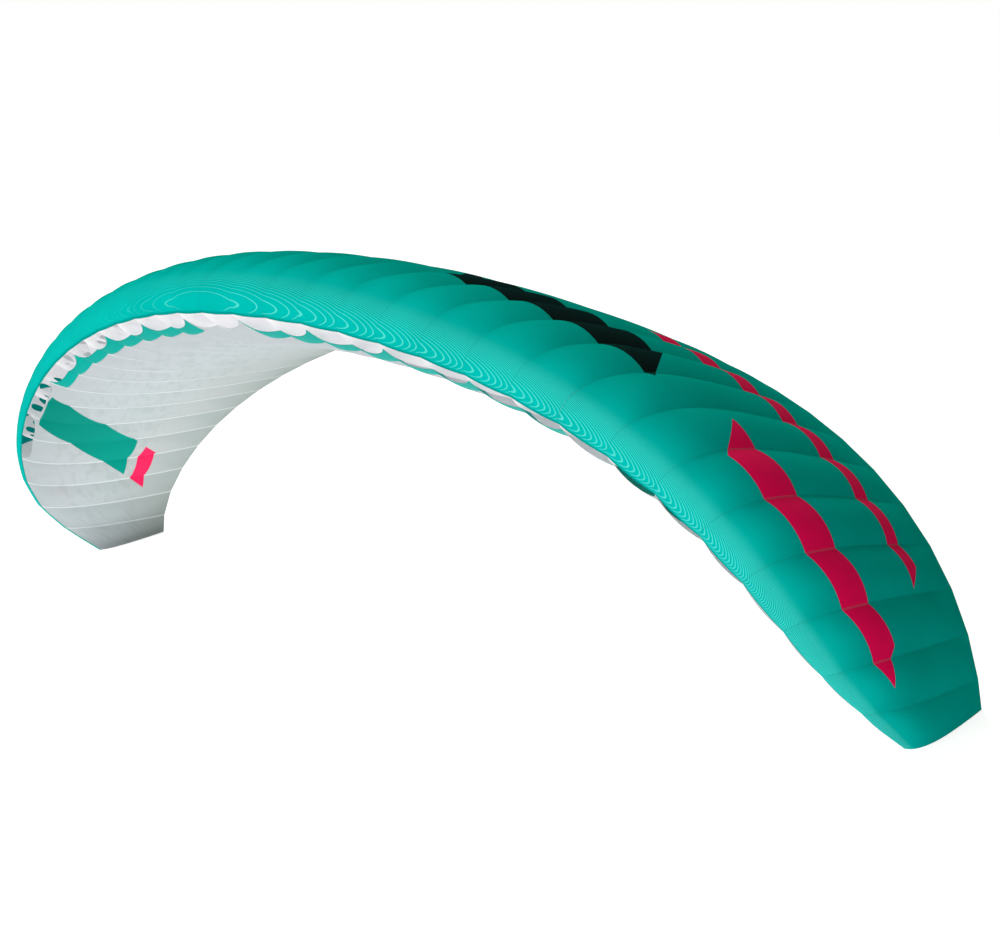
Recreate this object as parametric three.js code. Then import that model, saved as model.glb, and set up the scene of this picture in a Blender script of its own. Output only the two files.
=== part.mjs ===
// Inflated ram-air wing of a paraglider: 34 cells of thin ripstop cloth in a flying arch.
//
// The wing is sewn from nose, top and under cloth, each in several groups of cells, with a row
// of air inlets behind the nose, and from 35 ribs cut to the wing section. The end ribs close the tips.
// Millimetres, +Z up. X runs along the span, the leading edge faces -Y, and the origin lies on
// the floor, midway along the span. The arch stands on its two level end ribs.

import * as THREE from 'three';
import { mergeVertices } from 'three/addons/utils/BufferGeometryUtils.js';

// ---------------------------------------------------------------- driving dimensions

const CELLS = 34;
const RIBS = CELLS + 1;
const MIDDLE = CELLS / 2;

const FLAT_SPAN = 9600;            // tip to tip along the cloth
const CELL_SPREAD = [1.045, 0.1, -0.145]; // terms in u, u^3, u^5: narrower cells at the tips

const ROOT_CHORD = 2680;
const CHORD_TAPER = 1435;          // lost from root to tip along the whole span
const TAPER_POWER = 1.6;
const TIP_ROUNDING = 600;          // lost in the last cells only
const TIP_POWER = 12;

const SWEEP = 735;                 // how far the leading edge falls back along the span
const SWEEP_POWER = 1.43;
const TIP_SWEEP = 705;             // and how much more in the last cells
const TIP_SWEEP_POWER = 12.8;

const ARC_ANGLE = 37;              // degrees of tilt that build up evenly along the span
const TIP_ANGLE = 90;              // degrees at the end ribs, which are level
const ARC_POWER = 4.36;

const INCIDENCE = 3;               // degrees, nose up, at the root
const OUTER_TWIST = 2.5;           // degrees gained with u^2
const TIP_TWIST = -9;              // degrees lost with u^6
const TWIST_POINT = 0.3;           // of the chord

const LEAN = 7;                    // degrees that the arch leans back, so that it stands by itself

const THICKNESS = 0.1635;          // of the chord
const TIP_THINNING = 0.12;         // share of the thickness lost at the tip
const TOP_BLUNTNESS = 0.58;        // extra roundness of the nose above and below
const BOTTOM_BLUNTNESS = 0.09;

const BILLOW_TOP = 0.12;           // height of a cell's bulge as a share of its width
const BILLOW_BOTTOM = 0.08;
const BILLOW_NOSE = 0.014;         // the nose cloth is stretched almost smooth over the ribs
const SMOOTH_REACH_TOP = 0.3;      // q at which most of that has gone
const SMOOTH_REACH_BOTTOM = 0.2;

const CLOTH = 2;                   // thickness of the skins
const RIB_CLOTH = 1.6;
const GAP = 0.3;                   // between neighbouring pieces
const SEAM_GAP = 0.5;              // along the chord, where skins and panels meet
const SIDE_GAP = GAP / (FLAT_SPAN / CELLS); // each side of a parting at a rib, as a share of a cell
const DEPTH_MIDDLE = 1330.5;       // from the root nose back to the origin, about the middle of the box

const NOSE_SEAM = 0.1225;          // share of the chord on top, where nose cloth meets top cloth
const NOSE_GROUPS = [0, 8, 12, 15, 17, 19, 22, 26, CELLS]; // ribs where each cloth is parted
const TOP_GROUPS = [0, 8, 17, 26, CELLS];
const UNDER_GROUPS = [0, 8, 14, 20, 26, CELLS];

const UPPER_LIP = 0.0125;          // places on the under side, as shares of the chord
const LIP_SPIKE = 0.027;
const LIP_NOTCH = 0.053;
const SPIKE_REACH = 0.18;          // of a cell, how fast a spike falls back to the notch line
const FIRST_INLET_RIB = 4;
const LAST_INLET_RIB = 30;

const LIP_PANEL_RIBS = [8, 10, 12, 14, 18, 20, 22, 24]; // where each lip panel starts
const LIP_PANEL_CELLS = 2;
const LIP_PANELS = LIP_PANEL_RIBS.map((from, i) => (
  { name: `lip_panel_${i + 1}`, from, to: from + LIP_PANEL_CELLS } // teal cloth in front of the under skin
));
const PANEL_SEAM = 0.0866;         // share of the chord at their rear edge

const STEPS_PER_CELL = 3;
const TOP_STEPS = 8;               // from the upper trailing edge to the nose seam
const NOSE_STEPS = 5;              // and on round the nose to the upper lip
const FRONT_STEPS = 2;             // under skin: from the lip to the panel seam
const REAR_STEPS = 7;              // and on to the trailing edge
const ARC_STEPS = 600;             // for adding up the arc from the middle to a tip

const COLOURS = { nose: 0x00c8b8, top: 0x00a898, under: 0xd5d9dc, panel: 0x00b0a0, rib: 0xe8eaee };

// ---------------------------------------------------------------- laws along the span

const radians = THREE.MathUtils.degToRad;

/** Share of the half span, -1 to 1, at which rib k stands. */
function ribPlace(k) {
  const u = (k - MIDDLE) / MIDDLE;
  return CELL_SPREAD[0] * u + CELL_SPREAD[1] * u ** 3 + CELL_SPREAD[2] * u ** 5;
}

/** Tilt of the cloth from level, in radians: 0 in the middle and a right angle at the tips. */
function arcAngle(s) {
  const a = Math.abs(s);
  return Math.sign(s) * radians(ARC_ANGLE * a + (TIP_ANGLE - ARC_ANGLE) * a ** ARC_POWER);
}

function chordAt(s) {
  const a = Math.abs(s);
  return ROOT_CHORD - CHORD_TAPER * a ** TAPER_POWER - TIP_ROUNDING * a ** TIP_POWER;
}

function sweepAt(s) {
  const a = Math.abs(s);
  return SWEEP * a ** SWEEP_POWER + TIP_SWEEP * a ** TIP_SWEEP_POWER;
}

function incidenceAt(s) {
  return radians(INCIDENCE + OUTER_TWIST * s ** 2 + TIP_TWIST * s ** 6);
}

/** Place [x, z] on the arc, added up in small straight steps from the middle. */
function arcPlace(s) {
  const step = s * FLAT_SPAN / 2 / ARC_STEPS;
  let x = 0;
  let z = 0;
  for (let i = 0; i < ARC_STEPS; i += 1) {
    const angle = arcAngle(s * (i + 0.5) / ARC_STEPS);
    x += step * Math.cos(angle);
    z -= step * Math.sin(angle);
  }
  return [x, z];
}

// ---------------------------------------------------------------- wing section

/**
 * Section point [along, up] for a chord of 1. The parameter q is the square root of the distance
 * behind the nose, positive over the top and negative below, so that the curve runs smoothly
 * round the nose from the upper trailing edge (1) to the lower one (-1).
 */
function sectionPoint(q, thickness) {
  const x = q * q;
  const r = Math.abs(q);
  const body = 0.2969 * r - 0.1260 * x - 0.3516 * x ** 2 + 0.2843 * x ** 3 - 0.1036 * x ** 4;
  const bluntness = q > 0 ? TOP_BLUNTNESS : BOTTOM_BLUNTNESS;
  const nose = 0.2969 * bluntness * (r - x) * (1 - x);
  return [x, Math.sign(q) * 5 * thickness * (body + nose)];
}

/** Unit normal [along, up] of the section, pointing out of the wing. */
function sectionNormal(q, thickness) {
  const small = 0.002;
  const [x0, z0] = sectionPoint(Math.max(q - small, -1), thickness);
  const [x1, z1] = sectionPoint(Math.min(q + small, 1), thickness);
  const length = Math.hypot(x1 - x0, z1 - z0);
  return [-(z1 - z0) / length, (x1 - x0) / length];
}

// ---------------------------------------------------------------- rib stations

/** Turns a flight-frame vector back about X by the lean. */
function leanBack(v) {
  return v.applyAxisAngle(new THREE.Vector3(1, 0, 0), -radians(LEAN));
}

/** Frame of rib k: its nose point, and unit vectors along the chord, up and along the span. */
function makeStation(k) {
  const s = ribPlace(k);
  const angle = arcAngle(s);
  const twist = incidenceAt(s);
  const [x, z] = arcPlace(s);
  const chord = chordAt(s);
  const outward = new THREE.Vector3(Math.sin(angle), 0, Math.cos(angle));
  const forward = new THREE.Vector3(0, 1, 0);
  const along = forward.clone().multiplyScalar(Math.cos(twist)).addScaledVector(outward, -Math.sin(twist));
  const up = forward.clone().multiplyScalar(Math.sin(twist)).addScaledVector(outward, Math.cos(twist));
  const pivot = new THREE.Vector3(x, sweepAt(s) + TWIST_POINT * chord, z);
  const nose = leanBack(pivot.addScaledVector(along, -TWIST_POINT * chord));
  leanBack(along);
  leanBack(up);
  return { k, chord, nose, along, up, thickness: THICKNESS * (1 - TIP_THINNING * Math.abs(s) ** 5) };
}

/** An end rib is cut level: its frame loses its slope about the middle of its chord. */
function levelStation(station) {
  const middle = station.nose.clone().addScaledVector(station.along, station.chord / 2);
  station.along.setZ(0).normalize();
  station.up.setZ(0).addScaledVector(station.along, -station.up.dot(station.along)).normalize();
  station.nose.copy(middle).addScaledVector(station.along, -station.chord / 2);
  return station;
}

const stations = Array.from({ length: RIBS }, (_, k) => makeStation(k));
levelStation(stations[0]);
levelStation(stations[CELLS]);

/** Point of the section at a station, raised off the section curve by lift. */
function stationPoint(station, q, lift) {
  const [x, z] = sectionPoint(q, station.thickness);
  const [nx, nz] = sectionNormal(q, station.thickness);
  return station.nose.clone()
    .addScaledVector(station.along, x * station.chord + nx * lift)
    .addScaledVector(station.up, z * station.chord + nz * lift);
}

// ---------------------------------------------------------------- skins

/** Share of the cell's width by which the cloth bulges at q: little at the nose, nothing at the back. */
function billowAt(q) {
  const full = q > 0 ? BILLOW_TOP : BILLOW_BOTTOM;
  const reach = q > 0 ? SMOOTH_REACH_TOP : SMOOTH_REACH_BOTTOM;
  const smooth = Math.exp(-(Math.abs(q / reach) ** 3));
  return (full - (full - BILLOW_NOSE) * smooth) * (1 - q ** 16);
}

/** Point of a skin a share f of the way across cell j, on the inner face plus lift. */
function skinPoint(j, f, q, lift) {
  const a = stationPoint(stations[j], q, lift);
  if (f === 0) return a;
  const b = stationPoint(stations[j + 1], q, lift);
  const width = a.distanceTo(b);
  const bulge = 4 * f * (1 - f) * billowAt(q) * width;
  const p = a.lerp(b, f);
  const out = stationPoint(stations[j], q, 1).sub(stationPoint(stations[j], q, 0)).multiplyScalar(1 - f)
    .add(stationPoint(stations[j + 1], q, 1).sub(stationPoint(stations[j + 1], q, 0)).multiplyScalar(f));
  return p.addScaledVector(out.normalize(), bulge);
}

/** Place of the under skin's front edge, as a share of the chord, at a whole or part rib number. */
function lowerLip(k) {
  const nearest = stations[Math.round(k)];
  const closed = UPPER_LIP + SEAM_GAP / nearest.chord;
  if (k <= FIRST_INLET_RIB || k >= LAST_INLET_RIB) return closed;
  const even = 2 * Math.round(k / 2);
  const spike = even === FIRST_INLET_RIB || even === LAST_INLET_RIB ? closed : LIP_SPIKE;
  return LIP_NOTCH - (LIP_NOTCH - spike) * Math.exp(-Math.abs(k - even) / SPIKE_REACH);
}

/**
 * Closed sheet between two grids of points of equal size, [row][column], with a rim wherever a
 * cloth square has no neighbour. Only the squares for which has(row, column) holds are cloth.
 */
function sheetGeometry(inner, outer, has = () => true) {
  const rows = inner.length - 1;
  const columns = inner[0].length - 1;
  const positions = [...inner.flat(), ...outer.flat()].flatMap((p) => [p.x, p.y, p.z]);
  const at = (side, i, j) => (side * (rows + 1) + i) * (columns + 1) + j;
  const cloth = (i, j) => i >= 0 && j >= 0 && i < rows && j < columns && has(i, j);
  const index = [];
  const square = (a, b, c, d) => index.push(a, b, c, a, c, d);
  for (let i = 0; i < rows; i += 1) {
    for (let j = 0; j < columns; j += 1) {
      if (!cloth(i, j)) continue;
      square(at(1, i, j), at(1, i, j + 1), at(1, i + 1, j + 1), at(1, i + 1, j));
      square(at(0, i, j), at(0, i + 1, j), at(0, i + 1, j + 1), at(0, i, j + 1));
      if (!cloth(i, j - 1)) square(at(0, i, j), at(1, i, j), at(1, i + 1, j), at(0, i + 1, j));
      if (!cloth(i, j + 1)) {
        square(at(1, i, j + 1), at(0, i, j + 1), at(0, i + 1, j + 1), at(1, i + 1, j + 1));
      }
      if (!cloth(i - 1, j)) square(at(0, i, j + 1), at(1, i, j + 1), at(1, i, j), at(0, i, j));
      if (!cloth(i + 1, j)) {
        square(at(0, i + 1, j), at(1, i + 1, j), at(1, i + 1, j + 1), at(0, i + 1, j + 1));
      }
    }
  }
  const geometry = new THREE.BufferGeometry();
  geometry.setAttribute('position', new THREE.Float32BufferAttribute(positions, 3));
  geometry.setIndex(index);
  return mergeVertices(geometry.toNonIndexed());
}

/** Two grids of skin points, inner and outer face, for rib numbers ks and a place rule q(k, t). */
function skinGrids(ks, place, steps) {
  const grid = (lift) => ks.map((k) => {
    const j = Math.min(Math.floor(k), CELLS - 1);
    return Array.from({ length: steps + 1 }, (_, c) => skinPoint(j, k - j, place(k, c), lift));
  });
  return [grid(GAP / 2), grid(GAP / 2 + CLOTH)];
}

/** Rib numbers, whole and part, of the rows from one rib to another. */
function rowPlaces(from, to) {
  return Array.from({ length: (to - from) * STEPS_PER_CELL + 1 }, (_, i) => from + i / STEPS_PER_CELL);
}

/** Rows of one piece of cloth, whose side edges at inner ribs keep clear of its neighbours'. */
function clearRows(from, to, clearance) {
  const ks = rowPlaces(from, to);
  if (from > 0) ks[0] += clearance;
  if (to < CELLS) ks[ks.length - 1] -= clearance;
  return ks;
}

/** From the upper trailing edge over the top to the nose seam. */
function topPlace(k, step) {
  return 1 - (step / TOP_STEPS) * (1 - Math.sqrt(NOSE_SEAM));
}

/** From just ahead of the nose seam round the nose to the upper lip. */
function nosePlace(k, step) {
  const seam = Math.sqrt(NOSE_SEAM - SEAM_GAP / stations[Math.round(k)].chord);
  return seam - (step / NOSE_STEPS) * (seam + Math.sqrt(UPPER_LIP));
}

/** From the lower lip to the panel seam, and on to the lower trailing edge. */
function bottomPlace(k, step) {
  const lip = Math.sqrt(lowerLip(k));
  const seam = Math.sqrt(PANEL_SEAM);
  if (step <= FRONT_STEPS) return -(lip + (step / FRONT_STEPS) * (seam - lip));
  return -(seam + ((step - FRONT_STEPS) / REAR_STEPS) * (1 - seam));
}

/** From the lower lip to just short of the panel seam. */
function panelPlace(k, step) {
  const lip = Math.sqrt(lowerLip(k));
  const seam = Math.sqrt(PANEL_SEAM - SEAM_GAP / stations[Math.round(k)].chord);
  return -(lip + (step / FRONT_STEPS) * (seam - lip));
}

/** Top cloth, or with the nose's rule and steps nose cloth, of the cells between two ribs. */
function outerCloth(from, to, place, steps) {
  return sheetGeometry(...skinGrids(clearRows(from, to, SIDE_GAP), place, steps));
}

/** Cloth of the under side, with a place left out at its front edge for each lip panel. */
function underCloth(from, to) {
  const inPanel = (cell) => LIP_PANELS.some((panel) => cell >= panel.from && cell < panel.to);
  const has = (row, column) => column >= FRONT_STEPS || !inPanel(from + Math.floor(row / STEPS_PER_CELL));
  const rows = clearRows(from, to, SIDE_GAP);
  return sheetGeometry(...skinGrids(rows, bottomPlace, FRONT_STEPS + REAR_STEPS), has);
}

/** One lip panel. The under cloth's side edges lie near the rib, so the panel's keep twice the gap. */
function lipPanel(panel) {
  return sheetGeometry(...skinGrids(clearRows(panel.from, panel.to, 2 * SIDE_GAP), panelPlace, FRONT_STEPS));
}

// ---------------------------------------------------------------- ribs

const RIB_END = 0.12;              // ribs stop this share of the last step short of the trailing edge
const FAN_POINT = { along: 0.16, up: -0.3 }; // where the spokes meet: of the chord, of the thickness
const FAN_SHARES = { inner: 0.3, outer: 0.8 }; // of the way from there to the section
const FAN_PORTS = [                // each wedge port, by the q of its two edges
  { from: -0.2, to: -0.06 },
  { from: 0.0, to: 0.14 },
  { from: 0.21, to: 0.34 },
  { from: 0.41, to: 0.52 },
];
const CROSS_PORT = { at: 0.5, halfLength: 0.06, halfHeight: 0.5, sides: 6 };

/** How steeply the skin at q falls away inwards beside a rib, as a tangent: 0 where it rises. */
function skinFall(station, q) {
  const across = station.along.clone().cross(station.up);
  const here = stationPoint(station, q, 0);
  const normal = stationPoint(station, q, 1).sub(here);
  const falls = [station.k - 1, station.k + 1].filter((k) => stations[k]).map((k) => {
    const step = stationPoint(stations[k], q, 0).sub(here);
    return -step.dot(normal) / Math.abs(step.dot(across));
  });
  return Math.max(0, ...falls);
}

/** Outline of a rib in its own plane: inside the skins by the gap, at both faces of the rib. */
function ribOutline(station) {
  const inset = (q) => {
    const depth = GAP + RIB_CLOTH * skinFall(station, q);
    const [x, z] = sectionPoint(q, station.thickness);
    const [nx, nz] = sectionNormal(q, station.thickness);
    return new THREE.Vector2(x * station.chord - nx * depth, z * station.chord - nz * depth);
  };
  const row = (place, steps) => Array.from({ length: steps + 1 }, (_, i) => inset(place(station.k, i)));
  const top = row(topPlace, TOP_STEPS);
  const nose = row(nosePlace, NOSE_STEPS).slice(1);
  const bottom = row(bottomPlace, FRONT_STEPS + REAR_STEPS);
  top[0].lerp(top[1], RIB_END);
  bottom.at(-1).lerp(bottom.at(-2), RIB_END);
  return [...top, ...nose, ...bottom];
}

/** Wedge port between two spokes, which spread from the fan point towards the nose and the top. */
function wedgePort(station, port) {
  const centre = new THREE.Vector2(FAN_POINT.along, FAN_POINT.up * station.thickness);
  const corner = (q, share) => new THREE.Vector2(...sectionPoint(q, station.thickness))
    .sub(centre).multiplyScalar(share).add(centre).multiplyScalar(station.chord);
  return [corner(port.from, FAN_SHARES.inner), corner(port.from, FAN_SHARES.outer),
    corner(port.to, FAN_SHARES.outer), corner(port.to, FAN_SHARES.inner)];
}

/** Port in the middle of the section, through which air reaches the next cell. */
function crossPort(station) {
  const q = Math.sqrt(CROSS_PORT.at);
  const top = sectionPoint(q, station.thickness)[1];
  const bottom = sectionPoint(-q, station.thickness)[1];
  const halfHeight = CROSS_PORT.halfHeight * (top - bottom) / 2;
  return Array.from({ length: CROSS_PORT.sides }, (_, i) => {
    const turn = (i + 0.5) * 2 * Math.PI / CROSS_PORT.sides;
    const x = CROSS_PORT.at + CROSS_PORT.halfLength * Math.cos(turn);
    const z = (top + bottom) / 2 + halfHeight * Math.sin(turn);
    return new THREE.Vector2(x, z).multiplyScalar(station.chord);
  });
}

/** Plate of rib cloth in its own plane, with the ports that its place in the wing calls for. */
function ribGeometry(station) {
  const shape = new THREE.Shape(ribOutline(station));
  const closing = station.k === 0 || station.k === CELLS;
  const atInlet = station.k > FIRST_INLET_RIB && station.k < LAST_INLET_RIB;
  if (!closing) shape.holes.push(new THREE.Path(crossPort(station)));
  if (atInlet) shape.holes.push(...FAN_PORTS.map((port) => new THREE.Path(wedgePort(station, port))));
  const plate = new THREE.ExtrudeGeometry(shape, { depth: RIB_CLOTH, bevelEnabled: false, steps: 1 });
  plate.deleteAttribute('normal');
  plate.deleteAttribute('uv');
  return mergeVertices(plate);
}

/** Stands a rib at its station. The end ribs lie on the floor, the others are centred. */
function placeRib(mesh, station) {
  const across = station.along.clone().cross(station.up);
  const shift = { 0: 0, [CELLS]: -RIB_CLOTH }[station.k] ?? -RIB_CLOTH / 2;
  mesh.quaternion.setFromRotationMatrix(new THREE.Matrix4().makeBasis(station.along, station.up, across));
  mesh.position.copy(station.nose).addScaledVector(across, shift);
  return mesh;
}

// ---------------------------------------------------------------- assembly

function clothMesh(name, geometry, colour) {
  const material = new THREE.MeshStandardMaterial({ color: colour, roughness: 0.55, metalness: 0 });
  const mesh = new THREE.Mesh(geometry, material);
  mesh.name = name;
  return mesh;
}

const wing = new THREE.Group();
/** Adds a cloth as numbered pieces, each made from its first rib to its last. */
function addCloth(name, groups, colour, make) {
  groups.slice(1).forEach((to, i) => wing.add(clothMesh(`${name}_${i + 1}`, make(groups[i], to), colour)));
}

addCloth('nose', NOSE_GROUPS, COLOURS.nose, (from, to) => outerCloth(from, to, nosePlace, NOSE_STEPS));
addCloth('top', TOP_GROUPS, COLOURS.top, (from, to) => outerCloth(from, to, topPlace, TOP_STEPS));
addCloth('under', UNDER_GROUPS, COLOURS.under, underCloth);
for (const panel of LIP_PANELS) wing.add(clothMesh(panel.name, lipPanel(panel), COLOURS.panel));
for (const station of stations) {
  const name = `rib_${String(station.k).padStart(2, '0')}`;
  wing.add(placeRib(clothMesh(name, ribGeometry(station), COLOURS.rib), station));
}
wing.position.set(0, -DEPTH_MIDDLE, -stations[0].nose.z);

export default wing;
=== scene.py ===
import bmesh
import bpy
import numpy as np
from mathutils import Matrix


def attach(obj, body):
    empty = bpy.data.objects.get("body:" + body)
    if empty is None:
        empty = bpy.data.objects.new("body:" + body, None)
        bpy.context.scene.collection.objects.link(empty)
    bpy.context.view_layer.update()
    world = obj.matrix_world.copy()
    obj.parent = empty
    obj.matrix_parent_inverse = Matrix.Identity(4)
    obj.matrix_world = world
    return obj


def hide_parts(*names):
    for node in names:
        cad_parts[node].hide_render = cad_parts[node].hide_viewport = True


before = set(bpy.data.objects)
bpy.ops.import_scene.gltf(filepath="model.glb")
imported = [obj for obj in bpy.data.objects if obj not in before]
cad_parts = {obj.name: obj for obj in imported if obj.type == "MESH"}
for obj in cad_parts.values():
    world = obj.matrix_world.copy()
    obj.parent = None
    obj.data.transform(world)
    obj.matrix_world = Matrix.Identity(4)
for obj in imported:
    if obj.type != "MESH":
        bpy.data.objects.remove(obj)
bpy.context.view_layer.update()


# ---------------------------------------------------------------- outer cloth
# Nose and top cloth of the wing: coated ripstop nylon cut in tapered panels, one to a cell, and sewn
# to the ribs. Air blown in at the lips holds it out, so that every cell bulges between its seams.
# Teal, with plain pink and black panels let in on both halves.

CELLS = 34
MIDDLE = CELLS / 2
FLAT_SPAN = 9.6
ROOT_CHORD, CHORD_TAPER, TAPER_POWER = 2.68, 1.435, 1.6
TIP_ROUNDING, ROUNDING_POWER = 0.6, 12
SWEEP, SWEEP_POWER = 0.735, 1.43
TIP_SWEEP, TIP_SWEEP_POWER = 0.705, 12.8
ARC_ANGLE, TIP_ANGLE, ARC_POWER, ARC_STEPS = 37, 90, 4.36, 600
LEAN = np.radians(7)
INCIDENCE, OUTER_TWIST, TIP_TWIST, TWIST_AXIS = 3, 2.5, -9, 0.3
THICKNESS, TIP_THINNING = 0.1635, 0.12
ROUND_ABOVE, ROUND_BELOW = 0.58, 0.09
BULGE_ABOVE, BULGE_BELOW, BULGE_NOSE = 0.12, 0.08, 0.014
NOSE_REACH_ABOVE, NOSE_REACH_BELOW = 0.3, 0.2
UPPER_LIP = 0.0125
GROUND_OFFSET = 1.3305
CLOTH_BACK, CLOTH_FACE = 0.00015, 0.0015
SIDE_GAP = 0.0003 * CELLS / FLAT_SPAN


def rib_share(k):
    """Share of the half span at rib k, -1 to 1: u, u cubed and u to the fifth, narrower cells at the tips."""
    u = (k - MIDDLE) / MIDDLE
    return 1.045 * u + 0.1 * u ** 3 - 0.145 * u ** 5


def arc_angle(s):
    """Tilt of the cloth from level: an even part, and the rest to upright at the tips by a power."""
    a = np.abs(s)
    return np.sign(s) * np.radians(ARC_ANGLE * a + (TIP_ANGLE - ARC_ANGLE) * a ** ARC_POWER)


def arc_place(s):
    """x and z on the arc: the cosines and sines of the tilt added up over short steps from the middle."""
    step = s * FLAT_SPAN / 2 / ARC_STEPS
    tilt = arc_angle(s[:, None] * (np.arange(ARC_STEPS) + 0.5) / ARC_STEPS)
    return step * np.cos(tilt).sum(axis=1), -step * np.sin(tilt).sum(axis=1)


def leaned_back(v):
    """Vectors turned back about X, as the standing arch leans."""
    c, s = np.cos(LEAN), np.sin(LEAN)
    return np.stack([v[..., 0], v[..., 1] * c + v[..., 2] * s, v[..., 2] * c - v[..., 1] * s], axis=-1)


def levelled(direction, against=None):
    """Unit vectors with their slope taken out, and square to another if one is given."""
    flat = direction * np.array([1.0, 1.0, 0.0])
    if against is not None:
        flat = flat - against * (flat * against).sum(axis=-1, keepdims=True)
    return flat / np.linalg.norm(flat, axis=-1, keepdims=True)


def rib_frames():
    """For every rib: nose point, directions along the chord and up, chord, and thickness as its share.

    The chord tapers and the leading edge sweeps back with powers of the span share. Each section is
    turned by its incidence about one place of the chord, and the two end ribs are levelled about mid chord.
    """
    s = rib_share(np.arange(CELLS + 1.0))
    a = np.abs(s)
    chord = ROOT_CHORD - CHORD_TAPER * a ** TAPER_POWER - TIP_ROUNDING * a ** ROUNDING_POWER
    sweep = SWEEP * a ** SWEEP_POWER + TIP_SWEEP * a ** TIP_SWEEP_POWER
    twist = np.radians(INCIDENCE + OUTER_TWIST * s ** 2 + TIP_TWIST * s ** 6)[:, None]
    tilt = arc_angle(s)
    x, z = arc_place(s)
    outward = np.stack([np.sin(tilt), 0 * tilt, np.cos(tilt)], axis=-1)
    back = np.array([0.0, 1.0, 0.0])
    along = leaned_back(back * np.cos(twist) - outward * np.sin(twist))
    up = leaned_back(back * np.sin(twist) + outward * np.cos(twist))
    pivot = leaned_back(np.stack([x, sweep + TWIST_AXIS * chord, z], axis=-1))
    nose = pivot - along * (TWIST_AXIS * chord)[:, None]
    ends = [0, CELLS]
    middle = nose[ends] + along[ends] * chord[ends, None] / 2
    along[ends] = levelled(along[ends])
    up[ends] = levelled(up[ends], along[ends])
    nose[ends] = middle - along[ends] * chord[ends, None] / 2
    nose = nose + np.array([0, -GROUND_OFFSET, -nose[0, 2]])
    return nose, along, up, chord, THICKNESS * (1 - TIP_THINNING * a ** 5)


rib_nose, rib_along, rib_up, rib_chord, rib_thickness = rib_frames()


def section(q, thickness):
    """Wing section for a chord of 1. q is the root of the distance behind the nose, + on top, - below.

    The height is a usual square root and powers curve, with a rounder nose added, more above than below.
    """
    x, r = q * q, np.abs(q)
    body = 0.2969 * r - 0.1260 * x - 0.3516 * x ** 2 + 0.2843 * x ** 3 - 0.1036 * x ** 4
    rounding = 0.2969 * np.where(q > 0, ROUND_ABOVE, ROUND_BELOW) * (r - x) * (1 - x)
    return x, np.sign(q) * 5 * thickness * (body + rounding)


def section_normal(q, thickness, near=0.002):
    """Outward unit normal of the section: the line between two near points, turned by a right angle."""
    x0, z0 = section(np.maximum(q - near, -1), thickness)
    x1, z1 = section(np.minimum(q + near, 1), thickness)
    length = np.hypot(x1 - x0, z1 - z0)
    return -(z1 - z0) / length, (x1 - x0) / length


def on_rib(i, q, lift):
    """Point of rib i's section at q, lifted off it: nose + chord (x along + z up) + lift times the normal."""
    x, z = section(q, rib_thickness[i])
    nx, nz = section_normal(q, rib_thickness[i])
    along = x * rib_chord[i] + nx * lift
    up = z * rib_chord[i] + nz * lift
    return rib_nose[i] + rib_along[i] * along[..., None] + rib_up[i] * up[..., None]


def billow(q):
    """Height of a cell's bulge as a share of its width, none at the trailing edge.

    Over the nose it drops to a small share, by an exponential of the third power of q over its reach.
    """
    full = np.where(q > 0, BULGE_ABOVE, BULGE_BELOW)
    reach = np.where(q > 0, NOSE_REACH_ABOVE, NOSE_REACH_BELOW)
    smooth = np.exp(-np.abs(q / reach) ** 3)
    return (full - (full - BULGE_NOSE) * smooth) * (1 - q ** 16)


def skin(k, q, lift):
    """Point of the blown-up cloth at rib number k, whole or part, and section place q.

    It lies straight across between the two ribs, moved out along the blended normal by the parabola
    4 f (1 - f) times the bulge, where f is the share of the way across the cell.
    """
    k, q = np.broadcast_arrays(k, q)
    i = np.minimum(np.floor(k), CELLS - 1).astype(int)
    f = (k - i)[..., None]
    near, far = on_rib(i, q, lift), on_rib(i + 1, q, lift)
    out = (on_rib(i, q, 1) - on_rib(i, q, 0)) * (1 - f) + (on_rib(i + 1, q, 1) - on_rib(i + 1, q, 0)) * f
    out /= np.linalg.norm(out, axis=-1, keepdims=True)
    width = np.linalg.norm(far - near, axis=-1, keepdims=True)
    return near * (1 - f) + far * f + out * 4 * f * (1 - f) * billow(q)[..., None] * width


def rows_between(start, stop, steps=12):
    """Rib numbers from one rib to another, closer together beside each seam, where the cloth creases."""
    across = (1 - np.cos(np.pi * np.arange(steps) / steps)) / 2
    rows = (np.arange(start, stop)[:, None] + across).ravel()
    rows = np.append(rows, stop)
    rows[0] += SIDE_GAP * (start > 0)
    rows[-1] -= SIDE_GAP * (stop < CELLS)
    return rows


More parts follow.
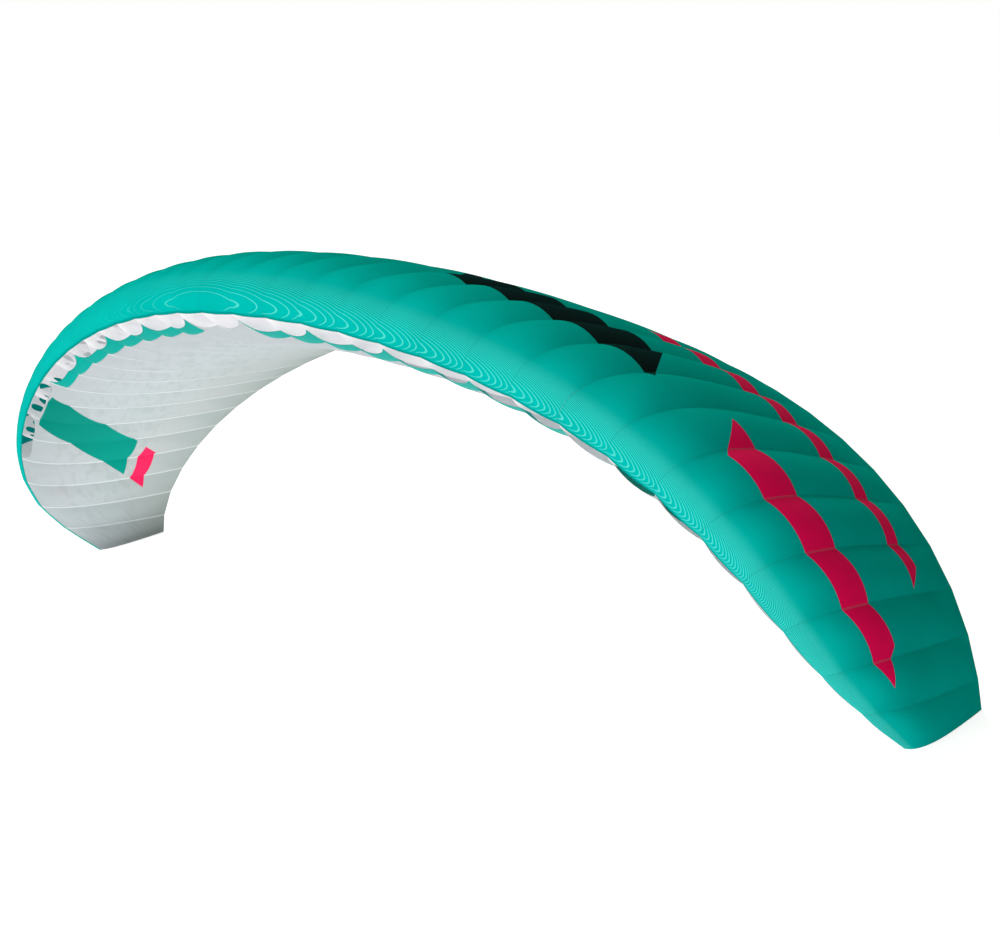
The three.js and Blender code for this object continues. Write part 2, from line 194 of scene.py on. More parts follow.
def sheet_object(name, back, face, cloth=None):
    """Closed thin sheet between two equal grids of points, its back and its face.

    Each square gives a face on both sides, the back one turned over, and a rim square wherever it has no
    neighbour. Only the squares marked in cloth are made.
    """
    rows, columns = back.shape[0] - 1, back.shape[1] - 1
    if cloth is None:
        cloth = np.ones((rows, columns), bool)
    number = np.arange(2 * (rows + 1) * (columns + 1)).reshape(2, rows + 1, columns + 1)
    a, b = number[:, :-1, :-1], number[:, :-1, 1:]
    c, d = number[:, 1:, 1:], number[:, 1:, :-1]
    walled = np.pad(cloth, 1)
    squares = [np.stack([a[1], b[1], c[1], d[1]], -1)[cloth], np.stack([a[0], d[0], c[0], b[0]], -1)[cloth]]
    rims = [
        (walled[1:-1, :-2], (a[0], a[1], d[1], d[0])),
        (walled[1:-1, 2:], (b[1], b[0], c[0], c[1])),
        (walled[:-2, 1:-1], (b[0], b[1], a[1], a[0])),
        (walled[2:, 1:-1], (d[0], d[1], c[1], c[0])),
    ]
    for neighbour, corners in rims:
        squares.append(np.stack(corners, -1)[cloth & ~neighbour])
    squares = np.concatenate(squares)
    used, squares = np.unique(squares, return_inverse=True)
    points = np.concatenate([back.reshape(-1, 3), face.reshape(-1, 3)])[used]
    mesh = bpy.data.meshes.new(name)
    mesh.from_pydata(points, [], squares.reshape(-1, 4))
    mesh.shade_smooth()
    mesh.set_sharp_from_angle(angle=np.radians(60))
    piece = bpy.data.objects.new(name, mesh)
    bpy.context.scene.collection.objects.link(piece)
    return piece, used


def mark_cloth(piece, used, k, q, face):
    """Two attributes on the mesh: place (rib number, signed share of the chord, 0 on the back or 1 on the
    face) and lay (metres along the span, metres along the cloth, width of the cell)."""
    k, q = np.broadcast_arrays(k, q)
    along = np.linalg.norm(np.diff(face, axis=1, prepend=face[:, :1]), axis=-1).cumsum(axis=1)
    i = np.minimum(np.floor(k), CELLS - 1).astype(int)
    width = np.linalg.norm(on_rib(i + 1, q, 0) - on_rib(i, q, 0), axis=-1)
    lay = np.stack([rib_share(k) * FLAT_SPAN / 2, along, width], axis=-1)
    share = np.sign(q) * q * q
    back, front = (np.stack([k, share, np.full(k.shape, side)], axis=-1) for side in (0.0, 1.0))
    for label, values in (("place", (back, front)), ("lay", (lay, lay))):
        both = np.concatenate([grid.reshape(-1, 3) for grid in values])[used]
        layer = piece.data.attributes.new(label, "FLOAT_VECTOR", "POINT")
        layer.data.foreach_set("vector", both.astype(np.float32).ravel())


def cut_size(face, cloth=None):
    """Width, length and area of a cloth as it was cut, worked out along its stretched face.

    The width is the longest line across the cells, the length the longest line along the chord. The area
    adds up half the cross product of the diagonals of each square of cloth.
    """
    width = np.linalg.norm(np.diff(face, axis=0), axis=-1).sum(axis=0).max()
    length = np.linalg.norm(np.diff(face, axis=1), axis=-1).sum(axis=1).max()
    squares = np.cross(face[1:, 1:] - face[:-1, :-1], face[1:, :-1] - face[:-1, 1:])
    area = np.linalg.norm(squares, axis=-1) / 2
    if cloth is not None:
        area = area * cloth
    return (float(width), float(length)), float(area.sum())


def blown_cloth(name, k, q, finish, cloth=None):
    """A cloth over a grid of rib numbers k and section places q, in its finish. With it come its width and
    length as cut, and its area."""
    back, face, middle = (skin(k, q, lift) for lift in (CLOTH_BACK, CLOTH_FACE, 0.0))
    piece, used = sheet_object(name, back, face, cloth)
    mark_cloth(piece, used, k, q, middle)
    piece.data.materials.append(finish)
    size, area = cut_size(middle, cloth)
    return piece, size, area


THREAD_PITCH, THREAD_HALF, THREAD_HEIGHT = 0.005, 0.0006, 0.00022
SEAM_HEIGHT = 0.0016
STITCH_PITCH, STITCH_HEIGHT = 0.0044, 0.0006
PUCKER_REACH, PUCKER_HEIGHT = 0.07, 0.0035
PANEL_SLANT = 5.0
PANEL_END_SOFT = 0.004


class Finish:
    """A material built up node by node. Each call puts one node in and gives back what comes out of it."""

    def __init__(self, name):
        self.material = bpy.data.materials.new(name)
        self.material.use_nodes = True
        self.tree = self.material.node_tree
        self.tree.nodes.clear()

    def node(self, kind, feeds, outlet=0, **settings):
        """One node of that kind, with its settings, its sockets fed with values or other nodes' outputs."""
        made = self.tree.nodes.new("ShaderNode" + kind)
        for key, value in settings.items():
            setattr(made, key, value)
        for key, value in feeds.items():
            if isinstance(value, bpy.types.NodeSocket):
                self.tree.links.new(value, made.inputs[key])
            else:
                made.inputs[key].default_value = value
        return made.outputs[outlet]

    def sum(self, operation, *values):
        """One Math node."""
        return self.node("Math", dict(enumerate(values)), operation=operation)

    def parts(self, attribute):
        """The three numbers of an attribute of the mesh."""
        vector = self.node("Attribute", {}, outlet=1, attribute_name=attribute)
        return [self.node("SeparateXYZ", {0: vector}, outlet=axis) for axis in range(3)]

    def rise(self, value, start, stop, low=0.0, high=1.0):
        """low up to start, high from stop on, and a smooth step between them."""
        feeds = {0: value, 1: start, 2: stop, 3: low, 4: high}
        return self.node("MapRange", feeds, interpolation_type="SMOOTHSTEP", clamp=True)

    def near(self, value, pitch, half_width):
        """1 on evenly spaced lines, falling to 0 half a width away from them."""
        away = self.sum("PINGPONG", value, pitch / 2)
        return self.rise(away, 0.0, half_width, 1.0, 0.0)

    def between(self, value, low, high, soft=0.001):
        """1 between two limits, with edges as soft as asked."""
        return self.sum("MULTIPLY", self.rise(value, low - soft, low + soft),
                        self.rise(value, high - soft, high + soft, 1.0, 0.0))

    def blend(self, share, first, second):
        """Two colours mixed by a share."""
        first, second = ((*one, 1.0) if isinstance(one, tuple) else one for one in (first, second))
        return self.node("Mix", {0: share, 6: first, 7: second}, outlet=2, data_type="RGBA")

    def object_place(self):
        """The point's own place on its piece, in metres."""
        return self.node("TexCoord", {}, outlet=3)

    def noise(self, place, scale, detail, roughness=0.5):
        """Soft unevenness from 0 to 1."""
        return self.node("TexNoise", {"Vector": place, "Scale": scale, "Detail": detail,
                                      "Roughness": roughness})

    def threads(self, across, along):
        """1 on the thick threads of ripstop, a square grid in the plane of the cloth."""
        return self.sum("MAXIMUM", self.near(across, THREAD_PITCH, THREAD_HALF),
                        self.near(along, THREAD_PITCH, THREAD_HALF))

    def panel(self, share, slant, front, rear, inner, outer):
        """1 inside a straight-edged panel, between two shares of the chord and two slanted ends."""
        return self.sum("MULTIPLY", self.between(share, front, rear),
                        self.between(slant, inner, outer, PANEL_END_SOFT))

    def end(self, shader):
        """Joins the shader to the material's output and gives the material back."""
        surface = self.tree.nodes.new("ShaderNodeOutputMaterial")
        self.tree.links.new(shader, surface.inputs[0])
        return self.material


def sewn_relief(finish):
    """Relief of sewn ripstop, in metres: a grid of thick threads, a ridge over each rib with a row of
    stitches on both sides, and puckers of the stretched cloth beside the seam. With it come the distance
    from the seam and the place of the stitches."""
    rib, _, _ = finish.parts("place")
    across, along, width = finish.parts("lay")
    from_seam = finish.sum("MULTIPLY", finish.sum("PINGPONG", rib, 0.5), width)
    ridge = finish.rise(from_seam, 0.001, 0.006, 1.0, 0.0)
    stitch = finish.sum("MULTIPLY", finish.between(from_seam, 0.0035, 0.0045, 0.0004),
                        finish.rise(finish.sum("PINGPONG", along, STITCH_PITCH / 2), 0.0006, 0.0010))
    stretched = finish.node("CombineXYZ", {0: finish.sum("MULTIPLY", along, 26.0),
                                           1: finish.sum("MULTIPLY", across, 3.0), 2: rib})
    uneven = finish.noise(stretched, 1.0, 2.0)
    by_seam = finish.rise(from_seam, 0.0, PUCKER_REACH, 1.0, 0.0)
    height = finish.sum("MULTIPLY", finish.threads(across, along), THREAD_HEIGHT)
    height = finish.sum("ADD", height, finish.sum("MULTIPLY", ridge, SEAM_HEIGHT))
    height = finish.sum("ADD", height, finish.sum("MULTIPLY", stitch, STITCH_HEIGHT))
    pucker = finish.sum("MULTIPLY", finish.sum("MULTIPLY", uneven, by_seam), PUCKER_HEIGHT)
    return finish.sum("ADD", height, pucker), from_seam, stitch


LIGHT_TEAL, DEEP_TEAL = (0.0006, 0.475, 0.435), (0.0004, 0.445, 0.405)
PINK, BLACK = (0.98, 0.003, 0.115), (0.007, 0.007, 0.008)
HIGHLIGHT_LINE_TEAL, NOSE_SHADE_TEAL, SEAM_TEAL, THREAD_TEAL = (
    (0.16, 0.86, 0.80), (0.0, 0.19, 0.165), (0.0, 0.20, 0.17), (0.05, 0.65, 0.58))
LINING_WHITE = (0.88, 0.88, 0.90)
# Each panel: chord shares of its front and rear edges, then slanted cell counts out to its two ends.
PINK_STRIPE = (0.66, 0.74, 9.5, 17.2)
PINK_PANEL = (0.17, 0.32, 12.0, 16.4)
BLACK_PANEL = (0.24, 0.44, 5.6, 10.4)
FRONT_PLANE, LINES_POWER, LINES_CLOSENESS = 1.3335, 1.45, 254.0
LINING_REACH, LINED_CELLS = 0.36, 10.5


def nose_highlight_lines(finish, rib, share):
    """Painted highlight on the nose: fine pale level lines, evenly spaced steps of the depth behind the
    foremost plane, raised to a power, and stronger from the middle towards +X."""
    depth = finish.node("SeparateXYZ", {0: finish.object_place()}, outlet=1)
    depth = finish.sum("MAXIMUM", finish.sum("ADD", depth, FRONT_PLANE), 0.0)
    step = finish.sum("MULTIPLY", finish.sum("POWER", depth, LINES_POWER), LINES_CLOSENESS)
    half_width = finish.sum("MULTIPLY", finish.sum("POWER", depth, LINES_POWER - 1), 0.42)
    on_nose = finish.sum("MULTIPLY", finish.rise(share, -0.0075, -0.005),
                         finish.rise(share, 0.012, 0.042, 1.0, 0.0))
    lines = finish.sum("MULTIPLY", finish.near(step, 1.0, half_width), on_nose)
    return finish.sum("MULTIPLY", lines, finish.rise(rib, 12.0, 19.0, 0.06, 0.5))


def outer_material():
    """Teal coated cloth with straight panels, equal on both halves: a black one towards the middle, a pink
    one towards the tip and a narrow pink one behind them. Its inside is white at the front.

    A panel's edges are straight in rib number and chord share; a slanted end moves with the chord share.
    """
    finish = Finish("outer_cloth")
    rib, share, side = finish.parts("place")
    across, along, _ = finish.parts("lay")
    height, from_seam, stitch = sewn_relief(finish)
    out = finish.sum("ABSOLUTE", finish.sum("SUBTRACT", rib, MIDDLE))
    slant = finish.sum("ADD", out, finish.sum("MULTIPLY", share, PANEL_SLANT))
    mottle = finish.noise(finish.object_place(), 2.3, 3.0)
    pink = finish.sum("MAXIMUM", finish.panel(share, slant, *PINK_STRIPE),
                      finish.panel(share, slant, *PINK_PANEL))
    # Painted shade: darker teal on the underside of the nose, next to the upper lip.
    edge_band = finish.rise(share, -0.009, -0.007, 0.55, 0.0)
    edge = finish.rise(from_seam, 0.002, 0.006, 0.16, 0.0)
    unlined = finish.rise(out, LINED_CELLS - 0.1, LINED_CELLS + 0.1)
    lining = finish.sum("MULTIPLY", finish.rise(side, 0.4, 0.6, 1.0, 0.0),
                        finish.between(finish.sum("ADD", share, unlined), -1.0, LINING_REACH))
    colour = finish.blend(finish.rise(mottle, 0.35, 0.65), DEEP_TEAL, LIGHT_TEAL)
    colour = finish.blend(pink, colour, PINK)
    colour = finish.blend(finish.panel(share, slant, *BLACK_PANEL), colour, BLACK)
    # Painted highlight: pale lines over the nose.
    colour = finish.blend(nose_highlight_lines(finish, rib, share), colour, HIGHLIGHT_LINE_TEAL)
    colour = finish.blend(edge_band, colour, NOSE_SHADE_TEAL)
    colour = finish.blend(edge, colour, SEAM_TEAL)
    colour = finish.blend(finish.sum("MULTIPLY", stitch, 0.5), colour, THREAD_TEAL)
    colour = finish.blend(lining, colour, LINING_WHITE)
    bump = finish.node("Bump", {"Height": height, "Distance": 1.0, "Strength": 0.6})
    rough = finish.rise(finish.threads(across, along), 0.0, 1.0, 0.46, 0.58)
    face = finish.node("BsdfPrincipled", {
        "Base Color": colour, "Roughness": rough, "Normal": bump,
        "Specular IOR Level": 0.0, "Sheen Weight": 0.03, "Sheen Roughness": 0.4,
        "Sheen Tint": (0.0, 0.9, 0.85, 1.0)})
    tint = finish.sum("MULTIPLY", finish.sum("SUBTRACT", 1.0, pink), 0.35)
    through = finish.node("BsdfTranslucent", {"Color": finish.blend(tint, colour, (0.0, 0.30, 0.16)),
                                              "Normal": bump})
    return finish.end(finish.node("MixShader", {0: 0.12, 1: face, 2: through}))


outer_cloth = outer_material()
OUTER_PARTS = [
    (0, 8, ["top_1", "nose_1"]),
    (8, 17, ["top_2", "nose_2", "nose_3", "nose_4"]),
    (17, 26, ["top_3", "nose_5", "nose_6", "nose_7"]),
    (26, 34, ["top_4", "nose_8"]),
]
OUTER_STEPS = 200
for start, stop, nodes in OUTER_PARTS:
    k = rows_between(start, stop)[:, None]
    t = np.arange(OUTER_STEPS + 1) / OUTER_STEPS
    q = (1 - t * (1 + np.sqrt(UPPER_LIP)))[None, :]
    piece, size, area = blown_cloth(f"outer_cloth_{start:02d}_{stop:02d}", k, q, outer_cloth)
    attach(piece, "root")
    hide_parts(*nodes)


# ---------------------------------------------------------------- camera
# A studio camera in front of the right half and a little above it, looking slightly down.

CAMERA_PLACE = (7.8177, -6.2225, 2.9737)
CAMERA_YAW, CAMERA_PITCH, CAMERA_ROLL = 0.82952, -0.20243, -0.09051
FOCAL_PIXELS, IMAGE_WIDTH, SENSOR_WIDTH = 1545.42, 1000.0, 36.0


def camera_axes(yaw, pitch, roll):
    """Right, up and forward directions of a camera turned by yaw, then pitch, then roll."""
    forward = np.array([-np.sin(yaw) * np.cos(pitch), np.cos(yaw) * np.cos(pitch), np.sin(pitch)])
    level = np.array([np.cos(yaw), np.sin(yaw), 0.0])
    above = np.cross(level, forward)
    right = level * np.cos(roll) + above * np.sin(roll)
    return right, above * np.cos(roll) - level * np.sin(roll), forward


right, above, forward = camera_axes(CAMERA_YAW, CAMERA_PITCH, CAMERA_ROLL)
turned = np.eye(4)
turned[:3, :3] = np.stack([right, above, -forward], axis=1)
turned[:3, 3] = CAMERA_PLACE
camera = bpy.data.objects.new("camera", bpy.data.cameras.new("camera"))
camera.data.sensor_fit = "HORIZONTAL"
camera.data.sensor_width = SENSOR_WIDTH
camera.data.lens = FOCAL_PIXELS * SENSOR_WIDTH / IMAGE_WIDTH
camera.data.clip_end = 200.0
camera.matrix_world = Matrix(turned.tolist())
bpy.context.scene.collection.objects.link(camera)
bpy.context.scene.camera = camera


# ---------------------------------------------------------------- under cloth
# Lower side of the wing: thinner uncoated ripstop, nearly white and a little see-through, sewn to the
# same ribs. Its front edge is cut to a point at every second rib, which leaves the air inlets open.
# Teal and pink panels are let in on both halves.

LIP_SPIKE, LIP_NOTCH, SPIKE_REACH = 0.027, 0.053, 0.18
INLET_RIBS = (4, 30)
PANEL_SPANS = ((8, 16), (18, 26))
PANEL_SEAM = 0.0866
INLET_STEPS, UNDER_STEPS = 10, 100
# Painted shade: the front white is the lit tone and the rear white the shaded tone of one cloth.
LIT_FRONT_WHITE, SHADED_REAR_WHITE = (0.69, 0.72, 0.75), (0.62, 0.645, 0.645)
PORT_SHADOW_GREY, SEAM_WHITE = (0.36, 0.40, 0.40), (0.92, 0.94, 0.95)
UNDER_TEAL, UNDER_PINK = (0.0005, 0.36, 0.29), (0.95, 0.004, 0.125)
# Each panel: chord shares of its front and rear edges, then slanted cell counts out to its two ends.
UNDER_TEAL_PANEL = (0.06, 0.56, 9.3, 10.9)
UNDER_PINK_PANEL = (0.62, 0.72, 9.3, 10.9)


def lower_lip(k):
    """Chord share of the front edge at rib number k: the notch line, with a point that rises towards every
    even rib and falls off exponentially, and closed to the upper lip outside the inlets."""
    closed = UPPER_LIP + 0.0002
    even = 2 * np.round(k / 2)
    tip = np.where(np.isin(even, INLET_RIBS), closed, LIP_SPIKE)
    lip = LIP_NOTCH - (LIP_NOTCH - tip) * np.exp(-np.abs(k - even) / SPIKE_REACH)
    return np.where((k <= INLET_RIBS[0]) | (k >= INLET_RIBS[1]), closed, lip)


def under_place(k, t):
    """q from the front edge at t 0 to the panel seam at t 1 and the trailing edge at t 2, in even steps."""
    lip = np.sqrt(lower_lip(k))
    seam = np.sqrt(PANEL_SEAM)
    return -np.where(t < 1, lip + t * (seam - lip), seam + (t - 1) * (1 - seam))


def under_material():
    """Off-white see-through cloth: part of the light bounces off, part comes through, and a small share
    of what lies behind shows. Painted shade makes it darker and greener towards the trailing edge, and
    faint painted grey shadows lie where the ribs' ports are. A slanted teal panel and a small pink one
    behind it are let in on both halves."""
    finish = Finish("under_cloth")
    rib, share, _ = finish.parts("place")
    across, along, _ = finish.parts("lay")
    height, from_seam, _ = sewn_relief(finish)
    back = finish.sum("ABSOLUTE", share)
    out = finish.sum("ABSOLUTE", finish.sum("SUBTRACT", rib, MIDDLE))
    slant = finish.sum("SUBTRACT", out, finish.sum("MULTIPLY", back, PANEL_SLANT))
    teal = finish.panel(back, slant, *UNDER_TEAL_PANEL)
    pink = finish.panel(back, slant, *UNDER_PINK_PANEL)
    stretched = finish.node("CombineXYZ", {0: finish.sum("MULTIPLY", across, 9.0),
                                           1: finish.sum("MULTIPLY", along, 16.0), 2: 0.0})
    # Painted shadows of the ribs' ports: faint grey patches over the middle of the chord.
    port_shadow_patches = finish.rise(finish.noise(stretched, 1.0, 2.0), 0.48, 0.62)
    port_shadow = finish.sum("MULTIPLY", port_shadow_patches, finish.between(back, 0.14, 0.66, 0.08))
    band = finish.rise(from_seam, 0.006, 0.009, 1.0, 0.0)
    # Painted shade: the white turns darker and greener from the front edge to the trailing edge.
    colour = finish.blend(finish.rise(back, 0.0, 0.9), LIT_FRONT_WHITE, SHADED_REAR_WHITE)
    colour = finish.blend(finish.sum("MULTIPLY", port_shadow, 0.17), colour, PORT_SHADOW_GREY)
    colour = finish.blend(finish.sum("MULTIPLY", band, 0.4), colour, SEAM_WHITE)
    colour = finish.blend(teal, colour, UNDER_TEAL)
    colour = finish.blend(pink, colour, UNDER_PINK)
    bump = finish.node("Bump", {"Height": height, "Distance": 1.0, "Strength": 0.6})
    face = finish.node("BsdfPrincipled", {
        "Base Color": colour, "Roughness": 0.6, "Normal": bump,
        "Specular IOR Level": finish.rise(teal, 0.0, 1.0, 0.2, 0.02),
        "Sheen Weight": finish.rise(teal, 0.0, 1.0, 0.05, 0.0), "Sheen Roughness": 0.5})
    through = finish.node("BsdfTranslucent", {"Color": colour, "Normal": bump})
    cloth = finish.node("MixShader", {0: 0.35, 1: face, 2: through})
    clear = finish.node("BsdfTransparent", {0: finish.blend(0.5, colour, (1.0, 1.0, 1.0))})
    covered = finish.sum("MAXIMUM", finish.sum("MAXIMUM", teal, pink), band)
    see_through = finish.rise(covered, 0.0, 1.0, 0.34, 0.12)
    return finish.end(finish.node("MixShader", {0: see_through, 1: cloth, 2: clear}))


under_cloth = under_material()
k = rows_between(0, CELLS, steps=10)[:, None]
t = np.concatenate([np.arange(INLET_STEPS) / INLET_STEPS,
                    1 + np.arange(UNDER_STEPS + 1) / UNDER_STEPS])[None, :]
cell = np.minimum(np.floor((k[:-1] + k[1:]) / 2), CELLS - 1)
in_panel = sum((cell >= start) & (cell < stop) for start, stop in PANEL_SPANS) > 0
has_cloth = ~in_panel | (t[:, :-1] >= 1)
piece, size, area = blown_cloth("under_cloth", k, under_place(k, t), under_cloth, has_cloth)
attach(piece, "root")
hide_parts(*[f"under_{group}" for group in range(1, 6)])


# ---------------------------------------------------------------- lip panels
# Teal ripstop panels behind the inlets, two cells wide each, sewn between the ribs and the under cloth.
# Their front edge is hemmed and runs out to a point at every second rib.

PANEL_RIBS = (8, 10, 12, 14, 18, 20, 22, 24)
PANEL_STEPS = 16
PANEL_TEAL, PANEL_HEM_TEAL = (0.0005, 0.50, 0.44), (0.0002, 0.33, 0.28)


def lip_material():
    """Teal coated cloth, darker along its hemmed front edge."""
    finish = Finish("lip_cloth")
    _, along, _ = finish.parts("lay")
    height, _, _ = sewn_relief(finish)
    edge_band = finish.rise(along, 0.010, 0.012, 1.0, 0.0)
    colour = finish.blend(finish.sum("MULTIPLY", edge_band, 0.35), PANEL_TEAL, PANEL_HEM_TEAL)
    height = finish.sum("ADD", height, finish.sum("MULTIPLY", edge_band, 0.0006))
    bump = finish.node("Bump", {"Height": height, "Distance": 1.0, "Strength": 0.6})
    face = finish.node("BsdfPrincipled", {"Base Color": colour, "Roughness": 0.5, "Normal": bump,
                                          "Specular IOR Level": 0.03})
    through = finish.node("BsdfTranslucent", {"Color": colour, "Normal": bump})
    return finish.end(finish.node("MixShader", {0: 0.3, 1: face, 2: through}))


lip_cloth = lip_material()
for number, start in enumerate(PANEL_RIBS, 1):
    k = rows_between(start, start + 2, PANEL_STEPS)
    k[[0, -1]] += np.array([1, -1]) * SIDE_GAP
    k = k[:, None]
    front = np.sqrt(lower_lip(k))
    rear = np.sqrt(PANEL_SEAM - 0.0005 / ROOT_CHORD)
    q = -(front + (np.arange(PANEL_STEPS + 1) / PANEL_STEPS)[None, :] * (rear - front))
    piece, size, area = blown_cloth(f"lip_panel_cloth_{number}", k, q, lip_cloth)
    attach(piece, "root")
    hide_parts(f"lip_panel_{number}")


# ---------------------------------------------------------------- ribs
# Cloth walls inside the wing, cut to the wing section from firm white ripstop. Fanned ports near the
# inlets and a round port further back let the air through. The two end ribs have none and close the tips.

RIB_HALF = 0.0006
RIB_INSET, RIB_CUT = 0.0006, 0.99
RIB_STEPS, PORT_STEPS = 180, 32
ROUND_PORT_PLACE, ROUND_PORT_HALF, ROUND_PORT_RISE = 0.5, 0.06, 0.25
FAN_PLACE, FAN_DROP = 0.16, 0.3
FAN_START, FAN_STOP = 0.3, 0.8
FAN_SPANS = ((-0.2, -0.06), (0.0, 0.14), (0.21, 0.34), (0.41, 0.52))
RIB_WHITE, RIB_BRIGHT = (0.84, 0.83, 0.85), (0.90, 0.89, 0.90)


def rounded(corners, times=3):
    """A closed outline rounded by cutting off its corners at a quarter of each side, again and again."""
    for _ in range(times):
        ahead = np.roll(corners, -1, axis=0)
        corners = np.stack([0.75 * corners + 0.25 * ahead, 0.25 * corners + 0.75 * ahead], 1).reshape(-1, 2)
    return corners


def rib_loops(i):
    """Outline of rib i and of its ports in the rib's plane, in metres from its nose.

    The outline keeps a little inside the section and stops just short of its trailing edge. A fanned port
    lies between two lines from one point low in the rib to the section, over a part of the way. The round
    port is an ellipse at mid chord, half as high as the section.
    """
    thickness, inset = rib_thickness[i], RIB_INSET / rib_chord[i]
    q = 1 - 2 * (np.arange(RIB_STEPS + 1) / RIB_STEPS)
    x, z = section(q, thickness)
    nx, nz = section_normal(q, thickness)
    outline = np.stack([x - nx * inset, z - nz * inset], -1)
    loops = [outline[np.abs(q) < np.sqrt(RIB_CUT)]]
    if 0 < i < CELLS:
        middle = np.sqrt(ROUND_PORT_PLACE)
        top, bottom = section(middle, thickness)[1], section(-middle, thickness)[1]
        turn = 2 * np.pi * np.arange(PORT_STEPS) / PORT_STEPS
        x_port = ROUND_PORT_PLACE + ROUND_PORT_HALF * np.cos(turn)
        z_port = (top + bottom) / 2 + ROUND_PORT_RISE * (top - bottom) * np.sin(turn)
        loops.append(np.stack([x_port, z_port], -1))
    if INLET_RIBS[0] < i < INLET_RIBS[1]:
        fan = np.array([FAN_PLACE, -FAN_DROP * thickness])
        way = np.array([FAN_START, FAN_STOP, FAN_STOP, FAN_START])[:, None]
        for start, stop in FAN_SPANS:
            edge = np.stack(section(np.array([start, start, stop, stop]), thickness), -1)
            loops.append(rounded(fan + (edge - fan) * way))
    return [loop * rib_chord[i] for loop in loops]


def loop_area(loop):
    """Area inside a closed outline: half the sum of the cross products of its neighbouring corners."""
    ahead = np.roll(loop, -1, axis=0)
    return abs(float((loop[:, 0] * ahead[:, 1] - ahead[:, 0] * loop[:, 1]).sum())) / 2


def flat_plate(name, loops, half):
    """Closed plate with holes: the loops filled as a flat outline and given a thickness on both sides."""
    drawn = bpy.data.curves.new(name, "CURVE")
    drawn.dimensions = "2D"
    drawn.fill_mode = "BOTH"
    drawn.extrude = half
    for loop in loops:
        line = drawn.splines.new("POLY")
        line.points.add(len(loop) - 1)
        line.points.foreach_set("co", np.pad(loop, ((0, 0), (0, 2)), constant_values=(0, 0)).ravel())
        line.use_cyclic_u = True
    holder = bpy.data.objects.new(name, drawn)
    bpy.context.scene.collection.objects.link(holder)
    bpy.context.view_layer.update()
    mesh = bpy.data.meshes.new_from_object(holder.evaluated_get(bpy.context.evaluated_depsgraph_get()))
    bpy.data.objects.remove(holder)
    bpy.data.curves.remove(drawn)
    joined = bmesh.new()
    joined.from_mesh(mesh)
    bmesh.ops.remove_doubles(joined, verts=joined.verts, dist=0.00005)
    bmesh.ops.recalc_face_normals(joined, faces=joined.faces)
    joined.to_mesh(mesh)
    joined.free()
    mesh.materials.clear()
    mesh.name = name
    return mesh


def rib_material():
    """Firm white cloth: ripstop threads in the rib's own plane, and a slight shine of its coating."""
    finish = Finish("rib_cloth")
    across, along, _ = finish.parts("lay")
    mottle = finish.noise(finish.object_place(), 3.0, 3.0)
    colour = finish.blend(finish.rise(mottle, 0.3, 0.7), RIB_WHITE, RIB_BRIGHT)
    height = finish.sum("MULTIPLY", finish.threads(across, along), 0.0003)
    bump = finish.node("Bump", {"Height": height, "Distance": 1.0, "Strength": 0.5})
    face = finish.node("BsdfPrincipled", {"Base Color": colour, "Roughness": 0.6, "Normal": bump,
                                          "Specular IOR Level": 0.2})
    through = finish.node("BsdfTranslucent", {"Color": colour, "Normal": bump})
    return finish.end(finish.node("MixShader", {0: 0.3, 1: face, 2: through}))


rib_cloth = rib_material()
rib_pieces = []
for i in range(CELLS + 1):
    loops = rib_loops(i)
    mesh = flat_plate(f"rib_cloth_{i:02d}", loops, RIB_HALF)
    flat = np.empty(len(mesh.vertices) * 3, np.float32)
    mesh.vertices.foreach_get("co", flat)
    flat = flat.reshape(-1, 3).astype(float)
    sideways = np.cross(rib_along[i], rib_up[i])
    shift = {0: RIB_HALF, CELLS: -RIB_HALF}.get(i, 0.0)
    placed = (rib_nose[i] + flat[:, :1] * rib_along[i] + flat[:, 1:2] * rib_up[i]
              + (flat[:, 2:] + shift) * sideways)
    mesh.vertices.foreach_set("co", placed.astype(np.float32).ravel())
    layer = mesh.attributes.new("lay", "FLOAT_VECTOR", "POINT")
    layer.data.foreach_set("vector", flat.astype(np.float32).ravel())
    mesh.materials.append(rib_cloth)
    mesh.shade_flat()
    mesh.update()
    piece = bpy.data.objects.new(mesh.name, mesh)
    bpy.context.scene.collection.objects.link(piece)
    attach(piece, "root")
    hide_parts(f"rib_{i:02d}")
    areas = [loop_area(loop) for loop in loops]
    rib_pieces.append(piece)


# ---------------------------------------------------------------- floor and light
# A seamless pale studio floor in a dim room, with a broad soft lamp low in front, one high on the -X
# side, and a soft box on the floor under the arch. Two fills light only the white ribs, from both sides
# and without shadows, as the light that comes in through the cloth does.

FLOOR_HALF = 150

scene = bpy.context.scene
scene.view_settings.view_transform = "Standard"

floor_mesh = bpy.data.meshes.new("floor")
corners = [(x * FLOOR_HALF, y * FLOOR_HALF, 0) for x, y in ((-1, -1), (1, -1), (1, 1), (-1, 1))]
floor_mesh.from_pydata(corners, [], [(0, 1, 2, 3)])
floor = bpy.data.objects.new("floor", floor_mesh)
scene.collection.objects.link(floor)
paper = Finish("studio_floor")
seen = paper.node("LightPath", {}, outlet=0)
glow = paper.node("Emission", {0: (1.0, 1.0, 1.0, 1.0), 1: paper.rise(seen, 0.0, 1.0, 0.30, 0.80)})
matt = paper.node("BsdfDiffuse", {0: (0.5, 0.5, 0.5, 1.0)})
floor_mesh.materials.append(paper.end(paper.node("AddShader", {0: glow, 1: matt})))

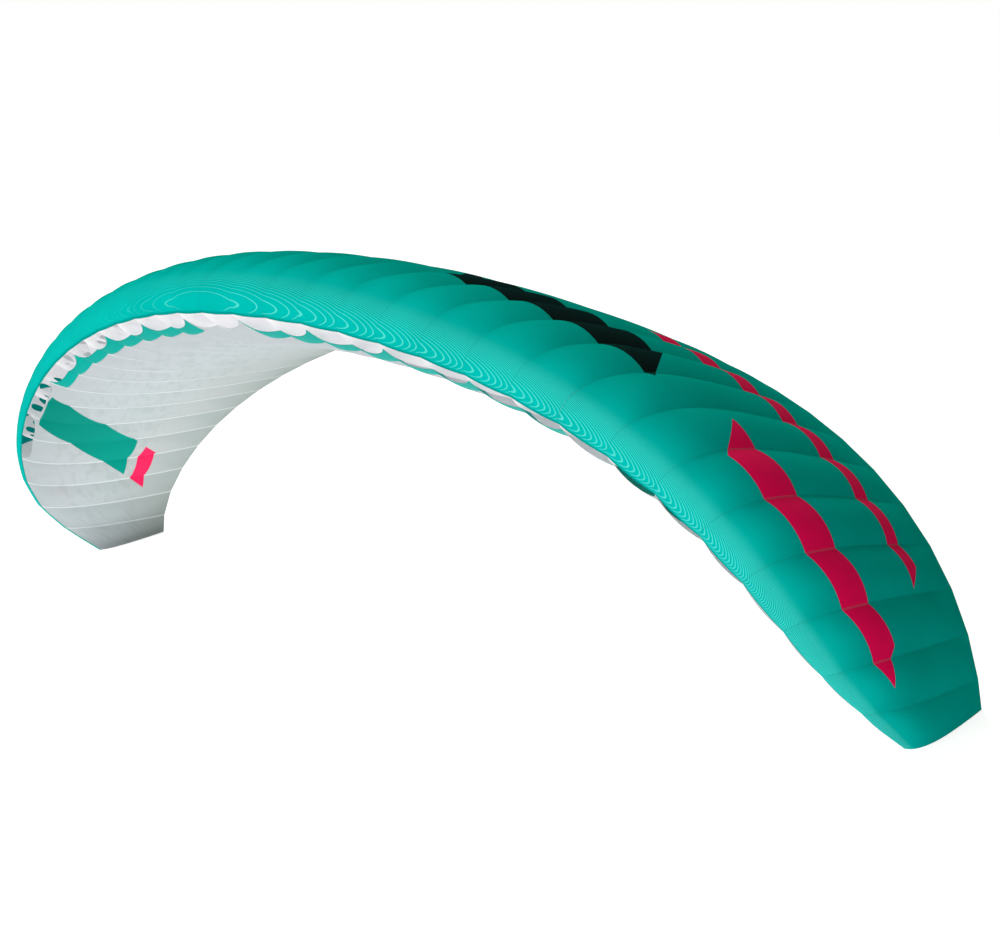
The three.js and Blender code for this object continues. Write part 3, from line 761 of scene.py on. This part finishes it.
room = bpy.data.worlds.new("studio")
room.use_nodes = True
room.node_tree.nodes.clear()
scene.world = room
tree = room.node_tree
seen = tree.nodes.new("ShaderNodeLightPath")
dim = tree.nodes.new("ShaderNodeBackground")
dim.inputs[0].default_value = (0.95, 1.0, 0.64, 1.0)
dim.inputs[1].default_value = 0.14
pale = tree.nodes.new("ShaderNodeBackground")
pale.inputs[0].default_value = (1.0, 1.0, 1.0, 1.0)
pale.inputs[1].default_value = 1.0
pick = tree.nodes.new("ShaderNodeMixShader")
whole = tree.nodes.new("ShaderNodeOutputWorld")
tree.links.new(seen.outputs[0], pick.inputs[0])
tree.links.new(dim.outputs[0], pick.inputs[1])
tree.links.new(pale.outputs[0], pick.inputs[2])
tree.links.new(pick.outputs[0], whole.inputs[0])


def lamp_turned(direction):
    """A 4x4 turn that points a lamp, which shines down its own -Z, along a direction."""
    back = -np.asarray(direction, float) / np.linalg.norm(direction)
    side = np.cross([0.0, 0.0, 1.0], back) if abs(back[2]) < 0.99 else np.array([1.0, 0.0, 0.0])
    side /= np.linalg.norm(side)
    whole_turn = np.eye(4)
    whole_turn[:3, :3] = np.stack([side, np.cross(back, side), back], axis=1)
    return whole_turn


def far_lamp(name, energy, spread, direction, colour=(1.0, 1.0, 1.0)):
    """A lamp so far away that its light comes from one side everywhere, softened by a spread in degrees."""
    data = bpy.data.lights.new(name, "SUN")
    data.energy = energy
    data.angle = np.radians(spread)
    data.color = colour
    lamp = bpy.data.objects.new(name, data)
    lamp.matrix_world = Matrix(lamp_turned(direction).tolist())
    scene.collection.objects.link(lamp)
    return lamp


KEY_AZIMUTH, KEY_HEIGHT = np.radians(275), np.radians(14)
towards = np.array([np.cos(KEY_HEIGHT) * np.cos(KEY_AZIMUTH), np.cos(KEY_HEIGHT) * np.sin(KEY_AZIMUTH),
                    np.sin(KEY_HEIGHT)])
far_lamp("key", 3.7, 50, -towards)

box_data = bpy.data.lights.new("under_box", "AREA")
box_data.shape = "RECTANGLE"
box_data.size, box_data.size_y = 7.2, 2.0
box_data.energy = 88.0
box_data.color = (0.95, 1.0, 1.0)
under_box = bpy.data.objects.new("under_box", box_data)
under_turn = lamp_turned((0.0, 0.0, 1.0))
under_turn[:3, 3] = (0.0, 0.0, 0.02)
under_box.matrix_world = Matrix(under_turn.tolist())
under_box.visible_camera = False
scene.collection.objects.link(under_box)

far_lamp("top_lamp", 1.4, 15, (0.60, -0.48, -0.64), (0.95, 1.0, 0.8))

inside = bpy.data.collections.new("white_cloth")
for piece in rib_pieces:
    inside.objects.link(piece)
open_air = bpy.data.collections.new("open_air")
open_air.objects.link(floor)
for side in (-1, 1):
    fill = far_lamp(f"rib_fill_{side + 1}", 1.25, 25, (-0.90 * side, 0.44, -0.09))
    fill.light_linking.receiver_collection = inside
    fill.light_linking.blocker_collection = open_air
